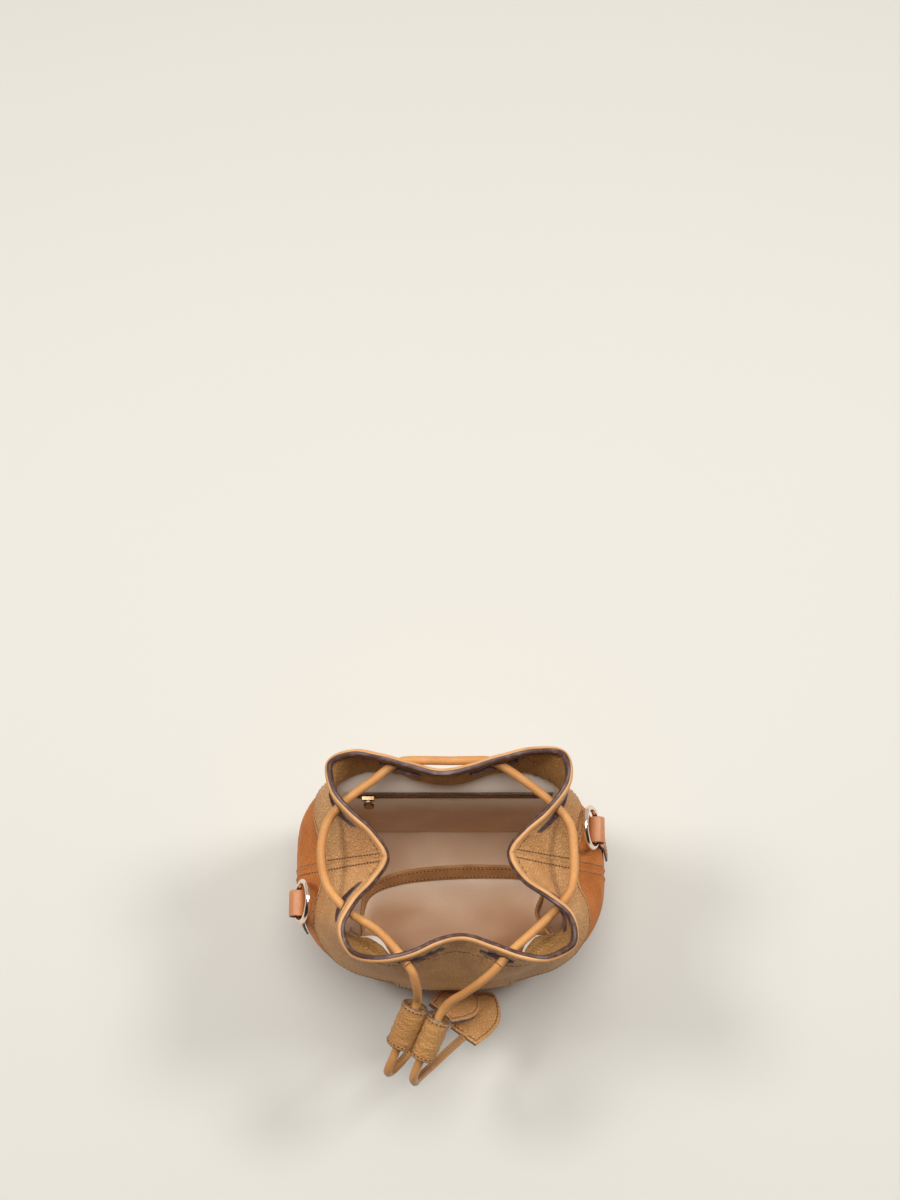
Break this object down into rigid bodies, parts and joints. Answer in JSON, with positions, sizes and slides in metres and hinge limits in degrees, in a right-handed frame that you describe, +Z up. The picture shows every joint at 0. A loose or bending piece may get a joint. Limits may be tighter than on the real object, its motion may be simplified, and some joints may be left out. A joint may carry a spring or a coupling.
{
  "type": "bucket bag",
  "caption": "Soft standing leather bucket bag with a cinched four-lobed mouth, a cord drawstring with a sliding stopper, side rings, a slip pocket and a zip pocket.",
  "frame": {"origin": "centre of the base, on the surface the bag stands on", "axes": "+Z up, -Y toward the front with the cord ends and the slider, +X to the wearer's right side of the front view, across the two side rings"},
  "size_m": [0.2465, 0.2412, 0.223],
  "materials": {
    "suede": "napped suede, matte",
    "grained_leather": "pebble grained, satin",
    "facing_leather": "fine grained, satin",
    "smooth_leather": "smooth, polished",
    "cord_leather": "rolled and stitched, satin",
    "lining_cloth": "plain woven cotton",
    "zip_tape_cloth": "woven tape",
    "label_leather": "smooth, blank",
    "ring_metal": "polished pale gold plate",
    "zip_metal": "polished pale plate"
  },
  "bodies": {
    "bag": {"base_panel": "suede", "front_body": "suede", "back_body": "suede", "front_yoke": "grained_leather", "back_yoke": "grained_leather", "front_facing": "facing_leather", "back_facing": "facing_leather", "front_lining": "lining_cloth", "back_lining": "lining_cloth", "lining_base": "lining_cloth", "slip_pocket": "lining_cloth", "pocket_band": "facing_leather", "zip_frame": "facing_leather", "zip_tape": "zip_tape_cloth", "zip_teeth": "zip_metal", "inner_label": "label_leather", "left_tab": "smooth_leather", "right_tab": "smooth_leather", "drawstring_loop": "cord_leather", "drawstring_left": "cord_leather", "drawstring_right": "cord_leather", "left_end_tab_top": "grained_leather", "left_end_tab_under": "grained_leather", "right_end_tab_top": "grained_leather", "right_end_tab_under": "grained_leather"},
    "left_ring": {"left_ring": "ring_metal"},
    "right_ring": {"right_ring": "ring_metal"},
    "zip_slider": {"zip_slider": "zip_metal"},
    "zip_pull": {"zip_ring": "zip_metal", "zip_puller": "facing_leather"},
    "cord_slider": {"slider_left": "grained_leather", "slider_right": "grained_leather"}
  },
  "joints": [
    {"name": "left_ring_swing", "type": "hinge", "parent": "bag", "child": "left_ring", "pos_m": [-0.117, -0.021, 0.14], "axis": [0, 1, 0], "range_deg": [-165, 6]},
    {"name": "right_ring_swing", "type": "hinge", "parent": "bag", "child": "right_ring", "pos_m": [0.1115, 0.034, 0.15], "axis": [0, 1, 0], "range_deg": [-6, 165]},
    {"name": "zip_slide", "type": "slide", "parent": "bag", "child": "zip_slider", "axis": [1, 0, 0], "range_m": [0, 0.126]},
    {"name": "zip_pull_swing", "type": "hinge", "parent": "zip_slider", "child": "zip_pull", "pos_m": [-0.063, 0.0559, 0.151], "axis": [-1, 0, 0], "range_deg": [0, 150]},
    {"name": "cord_slider_slide", "type": "slide", "parent": "bag", "child": "cord_slider", "axis": [-0.3722, -0.8046, -0.4626], "range_m": [-0.005, 0.01]}
  ]
}
